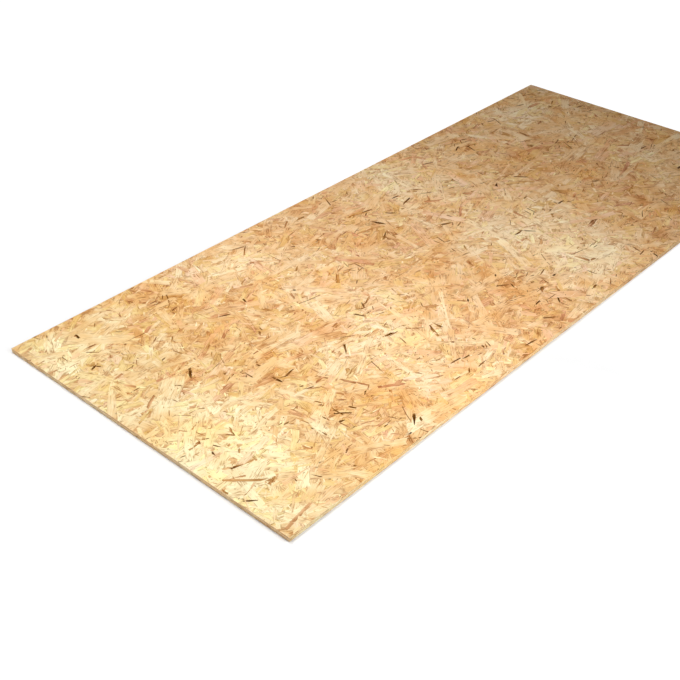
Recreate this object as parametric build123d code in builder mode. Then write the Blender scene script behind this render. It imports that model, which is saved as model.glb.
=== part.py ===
# A square-edged oriented strand board, stored lying flat on one face.
# X runs along the length, Y across the width and Z up through the thickness.
# The origin is under the board's centre, on the surface that it lies on.

import os

from build123d import *

# Driving dimensions, in millimetres
board_length = 2800.0  # storey height, as wall sheathing is sold
board_width = 1196.0  # two 600 mm stud bays, less the gap left between boards
board_thickness = 15.0
arris_break = 0.4  # the narrow flat that wear leaves along every sawn arris

# The board is pressed as one mat and sawn square on all four sides
with BuildPart() as board:
    with BuildSketch(Plane.XY):
        Rectangle(board_length, board_width)
    extrude(amount=board_thickness)

    # The sawn arrises and the four corners are a little worn, never knife sharp
    face_arrises = board.faces().filter_by(Axis.Z).edges()
    corner_arrises = board.edges().filter_by(Axis.Z)
    chamfer(face_arrises + corner_arrises, length=arris_break)

board.part.label = "osb_board"

os.makedirs("parts", exist_ok=True)
export_step(board.part, "parts/osb_board.step")
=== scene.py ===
import math

import bpy
import numpy as np
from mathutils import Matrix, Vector


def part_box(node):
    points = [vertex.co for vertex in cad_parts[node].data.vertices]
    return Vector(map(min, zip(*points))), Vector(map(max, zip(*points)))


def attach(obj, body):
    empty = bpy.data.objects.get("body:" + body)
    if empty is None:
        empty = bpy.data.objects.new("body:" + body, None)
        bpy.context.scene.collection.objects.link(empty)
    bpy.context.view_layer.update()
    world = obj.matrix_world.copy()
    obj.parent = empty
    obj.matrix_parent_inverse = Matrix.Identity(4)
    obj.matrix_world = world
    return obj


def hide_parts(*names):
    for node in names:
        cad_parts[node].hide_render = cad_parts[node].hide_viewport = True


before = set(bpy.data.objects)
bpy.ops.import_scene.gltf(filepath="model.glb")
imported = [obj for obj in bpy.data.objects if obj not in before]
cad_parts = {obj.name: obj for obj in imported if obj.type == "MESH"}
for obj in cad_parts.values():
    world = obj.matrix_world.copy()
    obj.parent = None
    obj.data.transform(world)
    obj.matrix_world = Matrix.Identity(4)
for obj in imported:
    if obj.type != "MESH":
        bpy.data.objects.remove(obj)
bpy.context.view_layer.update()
boardLow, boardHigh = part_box("osb_board")
boardSize = boardHigh - boardLow
mm = 0.001
print("board frame loaded, size in mm:", [round(side / mm, 1) for side in boardSize])


# Shader maths on sockets

class Wire:
    def __init__(self, finish, socket):
        self.finish = finish
        self.socket = socket

    def sums(self, operation, first, second=0.0):
        return self.finish.node("Math", {"operation": operation}, {0: first, 1: second})

    def __add__(self, other):
        return self.sums("ADD", self, other)

    def __radd__(self, other):
        return self.sums("ADD", other, self)

    def __sub__(self, other):
        return self.sums("SUBTRACT", self, other)

    def __rsub__(self, other):
        return self.sums("SUBTRACT", other, self)

    def __mul__(self, other):
        return self.sums("MULTIPLY", self, other)

    def __rmul__(self, other):
        return self.sums("MULTIPLY", other, self)

    def __truediv__(self, other):
        return self.sums("DIVIDE", self, other)

    def __rtruediv__(self, other):
        return self.sums("DIVIDE", other, self)

    def __abs__(self):
        return self.sums("ABSOLUTE", self)

    def sine(self):
        return self.sums("SINE", self)

    def largest(self, other):
        return self.sums("MAXIMUM", self, other)

    def least(self, other):
        return self.sums("MINIMUM", self, other)

    def ramp(self, low, high):  # 0 below low, 1 above high, smooth between
        return self.finish.node("MapRange", {"interpolation_type": "SMOOTHSTEP"},
                                {"Value": self, "From Min": low, "From Max": high})


class Finish:
    def __init__(self, owner):  # a new material's name, or the world
        if isinstance(owner, str):
            owner = bpy.data.materials.new(owner)
        owner.use_nodes = True
        self.material = owner
        self.tree = owner.node_tree
        self.tree.nodes.clear()

    def node(self, kind, settings=None, sockets=None, out=0):
        made = self.tree.nodes.new("ShaderNode" + kind)
        for name, value in (settings or {}).items():
            if name == "stops":
                self.fillRamp(made.color_ramp, value)
            else:
                setattr(made, name, value)
        for name, value in (sockets or {}).items():
            if isinstance(value, Wire):
                self.tree.links.new(value.socket, made.inputs[name])
            else:
                made.inputs[name].default_value = value
        return Wire(self, made.outputs[out]) if made.outputs else None

    def fillRamp(self, colorRamp, stops):
        while len(colorRamp.elements) < len(stops):
            colorRamp.elements.new(0.5)
        for element, (place, colour) in zip(colorRamp.elements, stops):
            element.position = place
            element.color = (*colour, 1)

    def parts(self, wire):  # the three numbers of a vector
        return [self.node("SeparateXYZ", {}, {0: wire}, out=axis) for axis in range(3)]

    def vector(self, x, y, z):
        return self.node("CombineXYZ", {}, {0: x, 1: y, 2: z})

    def noise(self, place, scale, detail):
        return self.node("TexNoise", {}, {"Vector": place, "Scale": scale, "Detail": detail})

    def tinted(self, colour, tint, amount):  # multiplies a colour by another
        if not isinstance(tint, Wire):
            tint = (*tint, 1)
        return self.node("Mix", {"data_type": "RGBA", "blend_type": "MULTIPLY"},
                         {"Factor": amount, 6: colour, 7: tint}, out=2)

    def direct(self):  # 1 where a ray comes from the camera, a reflection or glass
        straight, glossy, through = [
            self.node("LightPath", {}, {}, out=ray)
            for ray in ("Is Camera Ray", "Is Glossy Ray", "Is Transmission Ray")]
        return straight.largest(glossy).largest(through)

    def wood(self, look, colour, grain, height):  # a dull surface, rougher where the grain is high
        least, more = look["rough"]
        bump = self.node("Bump", {}, {
            "Strength": look["bump"], "Distance": look["bumpDepth"], "Height": height})
        return self.close(self.node("BsdfPrincipled", {}, {
            "Base Color": colour, "Roughness": least + grain * more, "Normal": bump,
            "Specular IOR Level": look["gloss"]}))

    def close(self, shader):
        self.node("OutputMaterial", {}, {"Surface": shader})
        return self.material


# Camera

cameraLook = {
    "spot": (-2.7751, -2.0202, 2.0168),
    "turn": 42.326,  # from +X towards +Y, in degrees
    "down": 35.334,
    "lens": 59.04,
    "sensor": 36,
    "sight": 100,  # how far it sees, in metres
}


def setCamera(look):
    bpy.ops.object.camera_add(location=look["spot"])
    camera = bpy.context.object
    camera.name = "photo_camera"
    turn, down = math.radians(look["turn"]), math.radians(look["down"])
    ahead = Vector((math.cos(down) * math.cos(turn), math.cos(down) * math.sin(turn), -math.sin(down)))
    camera.rotation_euler = ahead.to_track_quat("-Z", "Y").to_euler()
    camera.data.sensor_width = look["sensor"]
    camera.data.lens = look["lens"]
    camera.data.clip_end = look["sight"]
    bpy.context.scene.camera = camera


setCamera(cameraLook)
bpy.context.scene.view_settings.view_transform = "Standard"
print("camera set")


# Floor and light

skyLevel = 0.152
lampLooks = [
    {
        "name": "overhead_soft",
        "spot": (-1.14, 0.60, 2.36),
        "aim": (-1.14, 0.60, 0.0),
        "size": 1.2,
        "power": 52.5,
    },
    {
        "name": "side_soft",
        "spot": (-0.74, -1.5, 1.29),
        "aim": (-0.74, 0.0, 0.0),
        "size": 1.2,
        "power": 27.0,
    },
    {
        "name": "front_soft",
        "spot": (-3.4, 0.0, 0.8),
        "aim": (-1.4, 0.0, 0.0),
        "size": 1.0,
        "power": 5.3,
    },
    {
        "name": "back_soft",
        "spot": (2.9, 2.1, 0.38),
        "aim": (0.9, 0.5, 0.0),
        "size": 0.8,
        "power": 9.0,
    },
]
floorLook = {
    "size": 60.0,
    "gap": 0.05 * mm,  # how far it lies under the board
    "bounce": 0.9,
    "seen": 0.75,  # how much light and shadow the camera sees on it
    "white": 1.08,  # what its own glow fills that light up to
}


def lampLevel(finish, place, lamp):  # a small lamp's light on a white floor, as the camera sees it
    spot = Vector(lamp["spot"])
    look = (Vector(lamp["aim"]) - spot).normalized()
    x, y = finish.parts(place)[:2]
    dx, dy = x - spot.x, y - spot.y
    square = dx * dx + dy * dy + spot.z ** 2
    facing = dx * look.x + dy * look.y - spot.z * look.z
    return facing * (lamp["power"] / math.pi ** 2 * spot.z) / (square * square)


def floorFinish(look):
    finish = Finish("pale_floor")
    place = finish.node("TexCoord", {}, {}, out="Object")
    level = skyLevel
    for lamp in lampLooks:
        level = lampLevel(finish, place, lamp).largest(0.0) + level
    fill = (look["white"] - level * look["seen"]).largest(0.0)
    seen = finish.node("BsdfDiffuse", {}, {"Color": (look["seen"], look["seen"], look["seen"], 1)})
    glow = finish.node("Emission", {}, {"Color": finish.vector(fill, fill, fill), "Strength": 1.0})
    shown = finish.node("AddShader", {}, {0: seen, 1: glow})
    bounced = finish.node("BsdfDiffuse", {}, {"Color": (look["bounce"], look["bounce"], look["bounce"], 1)})
    return finish.close(finish.node("MixShader", {}, {0: finish.direct(), 1: bounced, 2: shown}))


def layFloor(look):
    bpy.ops.object.select_all(action="DESELECT")
    bpy.ops.mesh.primitive_plane_add(size=look["size"], location=(0, 0, boardLow.z - look["gap"]))
    floor = bpy.context.object
    floor.name = "floor"
    floor.data.materials.append(floorFinish(look))


def hangLamp(look):
    spot = Vector(look["spot"])
    bpy.ops.object.light_add(type="AREA", location=spot)
    lamp = bpy.context.object
    lamp.name = look["name"]
    lamp.data.energy = look["power"]
    lamp.data.size = look["size"]
    lamp.visible_camera = False
    lamp.rotation_euler = (Vector(look["aim"]) - spot).to_track_quat("-Z", "Y").to_euler()


def lightSky(level):  # seen directly it is white, like the floor that meets it
    world = bpy.data.worlds.new("studio")
    finish = Finish(world)
    lighting = finish.node("Background", {}, {"Color": (1, 1, 1, 1), "Strength": level})
    white = finish.node("Background", {}, {"Color": (1, 1, 1, 1), "Strength": 1.0})
    sky = finish.node("MixShader", {}, {0: finish.direct(), 1: lighting, 2: white})
    finish.node("OutputWorld", {}, {"Surface": sky})
    bpy.context.scene.world = world


layFloor(floorLook)
for lampLook in lampLooks:
    hangLamp(lampLook)
lightSky(skyLevel)
print("floor and light set")


# Wood finishes

woodLook = {
    "stops": [
        (0.00, (0.085, 0.030, 0.005)),
        (0.12, (0.19, 0.078, 0.018)),
        (0.27, (0.41, 0.195, 0.066)),
        (0.42, (0.615, 0.325, 0.132)),
        (0.56, (0.726, 0.453, 0.210)),
        (0.72, (0.80, 0.570, 0.324)),
        (0.86, (0.855, 0.665, 0.402)),
        (1.00, (0.915, 0.757, 0.478)),
    ],
    "warm": [(0.33, (1.025, 0.895, 0.73)), (0.5, (1.025, 0.99, 0.985)), (0.67, (1.025, 1.06, 1.14))],
    "warmScale": 6.0,
    "paintedHighlightTint": (0.92, 1.01, 0.985),  # painted highlight: the strands near the brightly lit end of the board are drawn a little yellower, as strong light makes them look
    "paintedHighlightReach": 1.1,
    "freshCut": (0.4 * mm, 2 * mm),  # but not where they are sawn off
    "patch": 0.18,  # soft tone change over the whole face, over a hand's breadth
    "patchScale": 8.0,
    "cloud": 0.14,  # and over a few fingers' breadths
    "cloudScale": 24.0,
    "streak": 0.12,  # tone change of the broad streaks along a strand
    "brownStreak": 0.3,  # more of it on the brown ones
    "grain": 0.085,
    "ring": 0.08,
    "ringTurns": (700.0, 900.0),  # how close the rings are: least, and how much more on some strands
    "ringWander": 0.014,
    "drift": 0.12,  # tone change from one end of a strand to the other
    "fleck": 0.6,
    "fleckRange": (0.57, 0.70),
    "fleckCrowd": 0.8,  # how much the flecks gather in places
    "slit": 0.55,
    "slitRange": (0.63, 0.70),
    "slitCrowd": 0.4,
    "rim": 0.45,  # how dark the painted shade is, a broken line along a strand's edge
    "rimRange": (0.45, 0.62),
    "rimLeast": 0.1,
    "rimWidth": 1.2 * mm,
    "rimShare": 0.3,  # of a narrow strand's half width
    "brownBelow": 0.56,  # tones, then hues, where a strand changes its kind of wood
    "brownSoft": 0.08,
    "pinkBelow": 0.14,
    "heartBelow": 0.4,
    "yellowAbove": 0.7,
    "hueSoft": 0.1,
    "tints": {
        "pink": (1.0, 0.925, 0.98),
        "heart": (1.0, 0.98, 1.15),
        "yellow": (1.0, 1.03, 0.89),
        "fleck": (0.52, 0.30, 0.15),
        "slit": (0.42, 0.23, 0.10),
        # the colour of the painted shade along a strand's edge
        "rim": (0.38, 0.20, 0.09),
    },
    "patterns": {  # how fine along and across the strand, where it starts, detail
        "broad": (15.0, 120.0, 0.0, 2.0),
        "fine": (42.0, 1200.0, 0.0, 2.0),
        "wander": (9.0, 60.0, 0.0, 1.0),
        "crowd": (22.0, 34.0, 9.0, 1.0),
        "spot": (50.0, 430.0, 4.0, 2.0),
        "split": (21.0, 480.0, 6.0, 1.0),
        "broken": (55.0, 55.0, 2.0, 2.0),
    },
    "seedSpread": 37.0,  # how far apart two strands lie in a pattern
    "relief": {"fine": 0.5, "broad": 0.6, "fleck": 0.3, "slit": 0.5},
    "bump": 0.4,
    "bumpDepth": 0.5 * mm,
    "rough": (0.58, 0.2),  # least, and how much more the fine grain adds
    "gloss": 0.025,
}


def woodFinish(name, look):
    finish = Finish(name)
    place = finish.node("Attribute", {"attribute_name": "strandPlace"}, {}, out="Vector")
    shape = finish.node("Attribute", {"attribute_name": "strandShape"}, {}, out="Vector")
    sizes = finish.node("Attribute", {"attribute_name": "strandSize"}, {}, out="Vector")
    board = finish.node("TexCoord", {}, {}, out="Object")
    along, across, seed = finish.parts(place)
    alongShare, acrossShare, tone = finish.parts(shape)
    halfLength, halfWidth, hue = finish.parts(sizes)

    def drawnOut(pattern):  # noise stretched along the strand, different on each
        perLength, perWidth, start, detail = look["patterns"][pattern]
        spot = finish.vector(along * perLength, across * perWidth, seed * look["seedSpread"] + start)
        return finish.noise(spot, 1.0, detail)

    # Soft areas on the board, then grain, growth rings, flecks and fine cracks on each strand
    patch = finish.noise(board, look["patchScale"], 1.0)
    cloud = finish.noise(board, look["cloudScale"], 3.0)
    warmth = finish.noise(board, look["warmScale"], 3.0)
    broad, fine = drawnOut("broad"), drawnOut("fine")
    ringLeast, ringMore = look["ringTurns"]
    bent = across + drawnOut("wander") * look["ringWander"]
    ring = (bent * (ringLeast + seed * ringMore)).sine() * 0.5 + 0.5
    ring = ring * ring * ring
    crowd = drawnOut("crowd") - 0.5
    fleck = (drawnOut("spot") + crowd * look["fleckCrowd"]).ramp(*look["fleckRange"])
    slit = (drawnOut("split") + crowd * look["slitCrowd"]).ramp(*look["slitRange"])

    # Tone, then colour
    brown = (look["brownBelow"] - tone).ramp(0.0, look["brownSoft"])
    shade = tone + (broad - 0.5) * (2 * look["streak"] + brown * look["brownStreak"])
    shade = shade + (fine - 0.5) * (2 * look["grain"])
    shade = shade - ring * look["ring"] + alongShare * (seed - 0.5) * (2 * look["drift"])
    shade = shade + (patch - 0.5) * (2 * look["patch"]) + (cloud - 0.5) * (2 * look["cloud"])
    colour = finish.node("ValToRGB", {"stops": look["stops"]}, {"Fac": shade})
    warm = finish.node("ValToRGB", {"stops": look["warm"]}, {"Fac": warmth})
    colour = finish.tinted(colour, warm, 1.0)
    # Painted highlight: near the brightly lit end the colour is tinted yellower, fading out at the sawn end
    inside = finish.parts(board)[0] - boardLow.x
    paintedHighlight = (look["paintedHighlightReach"] - inside).ramp(0.0, look["paintedHighlightReach"])
    colour = finish.tinted(colour, look["paintedHighlightTint"], paintedHighlight * inside.ramp(*look["freshCut"]))
    tints = look["tints"]
    heart = (look["heartBelow"] - hue).ramp(0.0, look["hueSoft"]) * brown
    colour = finish.tinted(colour, tints["pink"], (look["pinkBelow"] - hue).ramp(0.0, look["hueSoft"]))
    colour = finish.tinted(colour, tints["heart"], heart)
    colour = finish.tinted(colour, tints["yellow"], (hue - look["yellowAbove"]).ramp(0.0, look["hueSoft"]))
    colour = finish.tinted(colour, tints["fleck"], fleck * look["fleck"])
    colour = finish.tinted(colour, tints["slit"], slit * look["slit"])

    # Painted shade: a broken dark line where a strand's edge stands over its neighbours, in the colour and
    # the bump
    gap = ((1.0 - abs(acrossShare)) * halfWidth).least((1.0 - abs(alongShare)) * halfLength)
    broken = drawnOut("broken").ramp(*look["rimRange"]) * (1 - look["rimLeast"]) + look["rimLeast"]
    width = (halfWidth * look["rimShare"]).least(look["rimWidth"])
    rim = (1.0 - (gap / width).ramp(0.0, 1.0)) * broken * look["rim"]
    colour = finish.tinted(colour, tints["rim"], rim)

    relief = look["relief"]
    height = fine * relief["fine"] + broad * relief["broad"]
    height = height - fleck * relief["fleck"] - slit * relief["slit"] - rim
    return finish.wood(look, colour, fine, height)


packedLook = {
    "stops": [(0.0, (0.40, 0.215, 0.088)), (0.5, (0.61, 0.365, 0.162)), (1.0, (0.76, 0.52, 0.265))],
    "fleckScale": 170.0,
    "cloudScale": 40.0,
    "cloudShare": 0.3,
    "bump": 0.5,
    "bumpDepth": 0.5 * mm,
    "rough": (0.5, 0.3),
    "gloss": 0.025,
}


def matFinish(name, look):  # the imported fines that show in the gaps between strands
    finish = Finish(name)
    place = finish.node("TexCoord", {}, {}, out="Object")
    fleck = finish.node("TexVoronoi", {}, {"Vector": place, "Scale": look["fleckScale"]}, out="Color")
    tone = finish.parts(fleck)[0]
    cloud = finish.noise(place, look["cloudScale"], 3.0)
    shade = tone * (1 - look["cloudShare"]) + cloud * look["cloudShare"]
    colour = finish.node("ValToRGB", {"stops": look["stops"]}, {"Fac": shade})
    return finish.wood(look, colour, cloud, tone)


woodFace = woodFinish("strand_wood", woodLook)
woodMat = matFinish("packed_fines", packedLook)
print("finishes made")


# The pressed mat under the strands

matLook = {
    "skin": 0.8 * mm,  # how far its faces lie under the board's
    "sawn": 0.35 * mm,  # how far its sides lie inside the sawn edges
    "soften": 0.4 * mm,
}


def pressMat(look):
    bpy.ops.object.select_all(action="DESELECT")
    inset = Vector((look["sawn"], look["sawn"], look["skin"]))
    size = boardSize - 2 * inset
    bpy.ops.mesh.primitive_cube_add(size=1, location=(boardLow + boardHigh) / 2)
    mat = bpy.context.object
    mat.name = "pressed_mat"
    mat.scale = size
    bpy.ops.object.transform_apply(location=True, rotation=True, scale=True)
    bevel = mat.modifiers.new("soften", "BEVEL")
    bevel.width = look["soften"]
    bevel.segments = 2
    bpy.ops.object.modifier_apply(modifier=bevel.name)
    mat.data.materials.append(woodMat)
    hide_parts("osb_board")
    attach(mat, "root")


pressMat(matLook)
print("mat pressed")


# Strands

paleAreas = [  # where the paler strands of the mat fell: x, y, reach along, reach across, lift in tone
    (-1.35, -0.25, 0.19, 0.23, 0.44),
    (-1.33, 0.42, 0.15, 0.15, 0.26),
    (-0.58, -0.23, 0.17, 0.10, 0.27),
    (-0.53, 0.10, 0.13, 0.17, 0.18),
    (-0.18, -0.16, 0.12, 0.11, 0.10),
    (-0.60, 0.45, 0.17, 0.09, 0.21),
    (-0.55, -0.52, 0.15, 0.10, 0.20),
    (0.30, -0.22, 0.17, 0.24, 0.30),
    (0.18, -0.50, 0.17, 0.10, 0.15),
    (0.27, 0.42, 0.20, 0.19, 0.27),
    (1.15, 0.12, 0.12, 0.18, 0.16),
    (1.14, -0.22, 0.14, 0.12, 0.18),
    (1.10, 0.48, 0.26, 0.12, 0.18),
]


def paleness(spots):
    lift = np.zeros(len(spots))
    for x, y, reachAlong, reachAcross, rise in paleAreas:
        away = ((spots[:, 0] - x) / reachAlong) ** 2 + ((spots[:, 1] - y) / reachAcross) ** 2
        lift += rise * np.exp(-away / 2)
    return lift - lift.mean()


class Side:  # one face of the board, with its own flat axes
    def __init__(self, centre, along, up, size):
        self.centre = np.array(centre, float)
        self.along = np.array(along, float)
        self.up = np.array(up, float)
        self.out = np.cross(self.along, self.up)
        self.half = np.array(size, float) / 2

    def place(self, flat, depth):
        return (self.centre + np.outer(flat[:, 0], self.along) + np.outer(flat[:, 1], self.up)
                - np.outer(depth, self.out))


def ribbonOutline(sidePoints, endPoints):  # a rectangle's rim, counter-clockwise, as shares of its size
    run = np.linspace(-0.5, 0.5, sidePoints)
    end = np.linspace(-0.5, 0.5, endPoints + 2)[1:-1]
    along = np.concatenate([run, np.full(endPoints, 0.5), run[::-1], np.full(endPoints, -0.5)])
    across = np.concatenate([np.full(sidePoints, -0.5), end, np.full(sidePoints, 0.5), end[::-1]])
    return along, across


def scatter(rng, look, half):  # centres on a jittered grid, reaching a little past the edges
    reach = 2 * half + look["overhang"]
    pitch = math.sqrt(1 / look["density"] / look["stretch"])
    steps = np.array([pitch * look["stretch"], pitch])
    counts = np.ceil(reach / steps).astype(int)
    grid = np.stack(np.meshgrid(np.arange(counts[0]), np.arange(counts[1])), -1).reshape(-1, 2)
    spots = (grid + rng.random(grid.shape)) * steps - reach / 2
    rng.shuffle(spots)
    if look["clump"] > 1:  # most of them gather around a few of their kind
        heads = spots[rng.integers(0, max(1, len(spots) // look["clump"]), len(spots))]
        gathered = heads + rng.normal(0, look["gather"], spots.shape)
        spots = np.where(rng.random((len(spots), 1)) < look["gathered"], gathered, spots)
    return spots


def cutStrands(rng, look, half):
    spots = scatter(rng, look, half)
    many = len(spots)
    shareAlong, shareAcross = ribbonOutline(look["sidePoints"], look["endPoints"])
    points = len(shareAlong)
    length = np.clip(rng.lognormal(math.log(look["length"]), look["lengthSpread"], (many, 1)),
                     look["length"] * look["least"], look["longest"])
    width = np.clip(rng.lognormal(math.log(look["width"]), look["widthSpread"], (many, 1)),
                    look["width"] * look["least"], length * look["squarest"])
    ends = np.isclose(np.abs(shareAlong), 0.5)
    slant = rng.normal(0, look["slant"], (many, 2))[:, (shareAlong > 0).astype(int)]
    teeth = rng.uniform(-1, 1, (many, points)) * look["teeth"]
    along = shareAlong * length + ends * (slant * shareAcross + teeth * np.sign(shareAlong)) * width
    wobble = 1 + rng.normal(0, look["wobble"], (many, points))
    taper = 1 + rng.normal(0, look["taper"], (many, 1)) * shareAlong - look["pinch"] * (2 * shareAlong) ** 2
    bend = rng.normal(0, look["bend"], (many, 1)) * length * (0.25 - shareAlong ** 2)
    across = shareAcross * width * wobble * taper + bend
    angle = rng.normal(0, look["turn"], (many, 1))
    x = spots[:, :1] + along * np.cos(angle) - across * np.sin(angle)
    y = spots[:, 1:] + along * np.sin(angle) + across * np.cos(angle)
    low, high = look["depth"]
    pitch = rng.normal(0, look["pitch"], (many, 1))
    roll = rng.normal(0, look["pitch"], (many, 1))
    depth = rng.uniform(low, high, (many, 1)) + pitch * along / length + roll * across / width
    depth = np.clip(depth, 0.0, look["deepest"])
    tone = rng.normal(look["tone"], look["toneSpread"], many) + look["field"] * paleness(spots)
    brown = rng.random(many) < look["brownShare"]
    tone = np.clip(np.where(brown, rng.uniform(*look["brownTones"], many), tone), 0.0, 1.0)
    hue = rng.uniform(*look["hues"], many)
    facts = np.column_stack([rng.random(many), tone, length[:, 0] / 2, width[:, 0] / 2, hue])
    # Per rim point: place on the face, place on the strand, the same as shares, depth
    rims = np.stack([x, y, along, across, 2 * along / length, 2 * (across - bend) / width, depth], -1)
    return zip(rims, facts)


def trimmed(rim, limits):  # what is left of an outline inside the sawn edges
    for axis in (0, 1):
        for sign in (-1, 1):
            inside = limits[axis] - sign * rim[:, axis]
            if inside.min() >= 0:
                continue
            if inside.max() <= 0:
                return None
            kept = []
            for i in range(len(rim)):
                a, b = inside[i - 1], inside[i]
                if (a > 0) != (b > 0):
                    kept.append(rim[i - 1] + (rim[i] - rim[i - 1]) * a / (a - b))
                if b > 0:
                    kept.append(rim[i])
            rim = np.array(kept)
            if len(rim) < 3:
                return None
    return rim


def outward(rim):  # the way out of a counter-clockwise outline, at each point
    chord = np.roll(rim, -1, 0) - np.roll(rim, 1, 0)
    chord /= np.maximum(np.linalg.norm(chord, axis=1, keepdims=True), 1e-9)
    return chord[:, ::-1] * (1, -1)


def shelfPack(sizes, gap):  # rows of boxes in a square, tallest first
    wide = math.sqrt((sizes + gap).prod(axis=1).sum()) * bakeLook["slack"]
    spots = np.zeros_like(sizes)
    x = y = row = 0.0
    for i in np.argsort(-sizes[:, 1], kind="stable"):
        if x + sizes[i, 0] + gap > wide:
            x, y, row = 0.0, y + row, 0.0
        spots[i] = (x, y)
        x += sizes[i, 0] + gap
        row = max(row, sizes[i, 1] + gap)
    return spots, max(wide, y + row)


class Flakes:  # many closed flakes joined in one mesh
    def __init__(self, name):
        self.name = name
        self.verts, self.faces, self.corners = [], [], 0
        self.place, self.shape, self.size = [], [], []
        self.flats = []

    def add(self, side, look, rim, facts):
        m = len(rim)
        seed, tone, halfLength, halfWidth, hue = facts
        foot = np.clip(rim[:, :2] + outward(rim[:, :2]) * look["bevel"], -side.half, side.half)
        self.verts += [side.place(rim[:, :2], rim[:, 6]), side.place(foot, np.full(m, look["sunk"]))]
        ring = list(range(self.corners, self.corners + m))
        self.faces.append(ring)
        self.faces += [[ring[i - 1], ring[i - 1] + m, ring[i] + m, ring[i]] for i in range(m)]
        self.faces.append([i + m for i in reversed(ring)])
        self.place += [np.column_stack([rim[:, 2:4], np.full(m, seed)])] * 2
        self.shape += [np.column_stack([rim[:, 4:6], np.full(m, tone)])] * 2
        self.size.append(np.tile((halfLength, halfWidth, hue), (2 * m, 1)))
        wall = outward(rim[:, 2:4]) * min(bakeLook["wall"], bakeLook["wallShare"] * halfWidth)
        self.flats.append(np.concatenate([rim[:, 2:4], rim[:, 2:4] + wall]))
        self.corners += 2 * m

    def bakeMap(self, mesh, gap):  # each flake's top and walls lie apart, its hidden foot is small
        lows = np.array([flat.min(0) for flat in self.flats])
        sizes = np.array([flat.max(0) for flat in self.flats]) - lows
        spots, edge = shelfPack(np.concatenate([sizes, sizes * bakeLook["foot"]]), gap)
        corners = []
        many = len(self.flats)
        for i, flat in enumerate(self.flats):
            m = len(flat) // 2
            top = flat - lows[i] + spots[i]
            foot = (flat[m:] - lows[i]) * bakeLook["foot"] + spots[many + i]
            walls = np.stack([np.roll(top[:m], 1, 0), np.roll(top[m:], 1, 0), top[m:], top[:m]], 1)
            corners += [top[:m], walls.reshape(-1, 2), foot[::-1]]
        layer = mesh.uv_layers.new(name="OFBake")
        layer.data.foreach_set("uv", (np.concatenate(corners) / edge).astype(np.float32).ravel())

    def build(self, finish, gap):
        mesh = bpy.data.meshes.new(self.name)
        mesh.from_pydata(np.concatenate(self.verts).tolist(), [], self.faces)
        facts = {"strandPlace": self.place, "strandShape": self.shape, "strandSize": self.size}
        for label, values in facts.items():
            layer = mesh.attributes.new(label, "FLOAT_VECTOR", "POINT")
            layer.data.foreach_set("vector", np.concatenate(values).astype(np.float32).ravel())
        self.bakeMap(mesh, gap)
        mesh.materials.append(finish)
        piece = bpy.data.objects.new(self.name, mesh)
        bpy.context.collection.objects.link(piece)
        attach(piece, "root")
        mesh.calc_loop_triangles()
        print(self.name, "flakes", len(self.flats), "triangles", len(mesh.loop_triangles))


def layFlakes(name, looks, sides, seed):
    rng = np.random.default_rng(seed)
    flakes = Flakes(name)
    for look in looks:
        for side in sides:
            limits = side.half - look["arris"]
            for rim, facts in cutStrands(rng, look, side.half):
                if (np.abs(rim[:, :2]) > limits).any():
                    rim = trimmed(rim, limits)
                if rim is not None:
                    flakes.add(side, look, rim, facts)
    flakes.build(woodFace, min(bakeLook["gap"], looks[0]["width"]))


bakeLook = {"wall": 1.0 * mm, "wallShare": 0.7, "foot": 0.12, "gap": 1.8 * mm, "slack": 1.03}
strandBase = {
    "stretch": 1.0, "overhang": 0.06, "arris": 0.4 * mm, "bevel": 0.35 * mm, "sunk": 1.1 * mm,
    "deepest": 0.75 * mm, "wobble": 0.10, "teeth": 0.26, "slant": 0.36, "taper": 0.18, "bend": 0.04,
    "pinch": 0.0, "turn": math.radians(50), "pitch": 0.15 * mm, "field": 1.0, "brownShare": 0.02,
    "brownTones": (0.28, 0.46), "hues": (0.0, 1.0), "clump": 1, "gather": 0.0,
    "gathered": 0.65, "least": 0.35, "squarest": 0.6,  # shares: in clumps, of the usual size, of the length
}
wideLook = dict(strandBase, density=900, length=0.098, lengthSpread=0.38, longest=0.23, width=0.020,
                widthSpread=0.38, sidePoints=5, endPoints=2, depth=(0.10 * mm, 0.7 * mm),
                tone=0.667, toneSpread=0.054, brownShare=0.0)
lastLook = dict(wideLook, density=70, length=0.140, width=0.026, depth=(0.0 * mm, 0.12 * mm), bend=0.06,
                tone=0.70, toneSpread=0.05, hues=(0.0, 0.77))
paleLook = dict(lastLook, density=12, length=0.150, width=0.030, widthSpread=0.20, tone=0.78, field=0.8,
                hues=(0.15, 0.70))
chipLook = dict(lastLook, density=115, length=0.038, lengthSpread=0.28, longest=0.075, width=0.020,
                widthSpread=0.22, pinch=0.42, taper=0.25, teeth=0.12, slant=0.25, bend=0.05,
                turn=math.radians(80), toneSpread=0.07, hues=(0.0, 1.0))
brownLook = dict(lastLook, density=18, length=0.066, width=0.012, longest=0.13, widthSpread=0.30,
                 pinch=0.15, brownShare=1.0, brownTones=(0.38, 0.52), hues=(0.0, 0.5), clump=3, gather=0.06)
narrowLook = dict(strandBase, density=1000, length=0.050, lengthSpread=0.42, longest=0.15, width=0.0074,
                  widthSpread=0.40, sidePoints=3, endPoints=1, depth=(0.05 * mm, 0.65 * mm),
                  tone=0.645, toneSpread=0.06, brownShare=0.055, pinch=0.12)
sliverLook = dict(narrowLook, density=190, length=0.018, width=0.0046, depth=(0.0 * mm, 0.08 * mm),
                  tone=0.91, toneSpread=0.05, field=0.5, brownShare=0.0)
finesLook = dict(strandBase, density=900, length=0.018, lengthSpread=0.40, longest=0.05, width=0.0028,
                 widthSpread=0.35, sidePoints=2, endPoints=1, depth=(0.0 * mm, 0.45 * mm),
                 turn=math.radians(90), tone=0.67, toneSpread=0.18, brownShare=0.12)
speckLook = dict(finesLook, density=480, length=0.0048, lengthSpread=0.35, longest=0.012, width=0.0029,
                 widthSpread=0.25, depth=(0.0 * mm, 0.06 * mm), pinch=0.25, pitch=0.02 * mm, brownShare=1.0,
                 brownTones=(0.15, 0.42), clump=14, gather=0.035)
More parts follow.
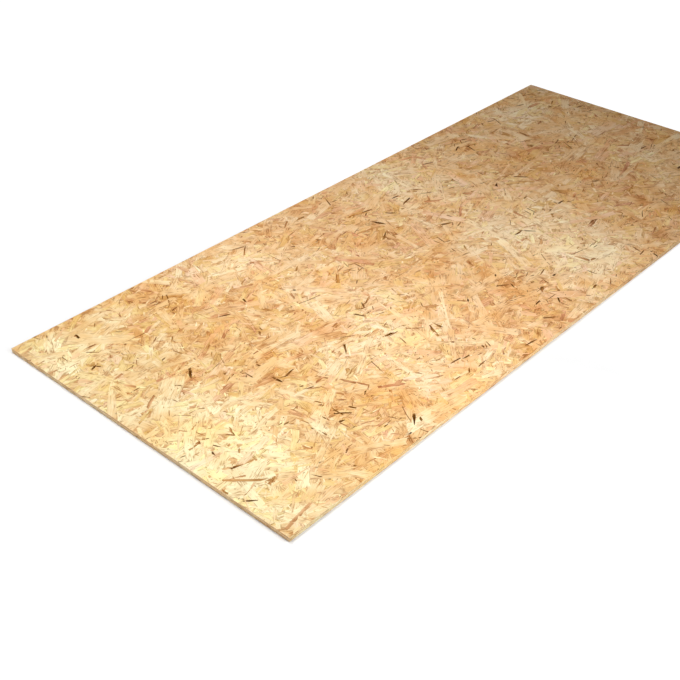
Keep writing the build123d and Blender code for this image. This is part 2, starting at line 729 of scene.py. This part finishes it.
tickLook = dict(strandBase, density=105, length=0.027, lengthSpread=0.45, longest=0.085, width=0.0029,
                widthSpread=0.30, sidePoints=4, endPoints=1, depth=(0.0 * mm, 0.05 * mm), pinch=0.45,
                wobble=0.25, bend=0.07, taper=0.45, teeth=0.45, turn=math.radians(60), tone=0.24,
                toneSpread=0.06, field=0.0, brownShare=0.0, pitch=0.03 * mm, clump=6, gather=0.055)
barkLook = dict(tickLook, density=50, length=0.026, width=0.0046, tone=0.175, toneSpread=0.05, clump=4)
darkLook = dict(tickLook, density=13, length=0.041, lengthSpread=0.22, longest=0.060, width=0.0062,
                widthSpread=0.20, tone=0.11, toneSpread=0.03, clump=2, gather=0.04)
# The cut layers on the sawn sides, thin and long
layerLook = dict(strandBase, density=62000, stretch=45.0, overhang=0.0, length=0.042, lengthSpread=0.45,
                 longest=0.12, width=0.00085, widthSpread=0.30, sidePoints=2, endPoints=1, bevel=0.1 * mm,
                 sunk=0.6 * mm, deepest=0.3 * mm, depth=(0.0 * mm, 0.3 * mm), pitch=0.05 * mm, teeth=2.0,
                 slant=0.0, turn=math.radians(0.8), tone=0.87, toneSpread=0.10, field=0.0, brownShare=0.07)

faceSize = boardSize.xy
middle = (boardLow + boardHigh) / 2
topSide = Side((middle.x, middle.y, boardHigh.z), (1, 0, 0), (0, 1, 0), faceSize)
underSide = Side((middle.x, middle.y, boardLow.z), (1, 0, 0), (0, -1, 0), faceSize)
sawnSides = [
    Side((middle.x, boardLow.y, middle.z), (1, 0, 0), (0, 0, 1), (boardSize.x, boardSize.z)),
    Side((boardHigh.x, middle.y, middle.z), (0, 1, 0), (0, 0, 1), (boardSize.y, boardSize.z)),
    Side((middle.x, boardHigh.y, middle.z), (-1, 0, 0), (0, 0, 1), (boardSize.x, boardSize.z)),
    Side((boardLow.x, middle.y, middle.z), (0, -1, 0), (0, 0, 1), (boardSize.y, boardSize.z)),
]

seeds = {"top": 11, "under": 23, "edges": 37}
for title, side in (("top", topSide), ("under", underSide)):
    seed = seeds[title]
    layFlakes(title + "_wide_strands", [wideLook], [side], seed)
    layFlakes(title + "_narrow_strands", [narrowLook, sliverLook], [side], seed + 1)
    layFlakes(title + "_last_strands", [lastLook, paleLook, chipLook, brownLook], [side], seed + 3)
    layFlakes(title + "_fines", [finesLook, speckLook, tickLook, barkLook, darkLook], [side], seed + 2)
layFlakes("sawn_edges", [layerLook], sawnSides, seeds["edges"])
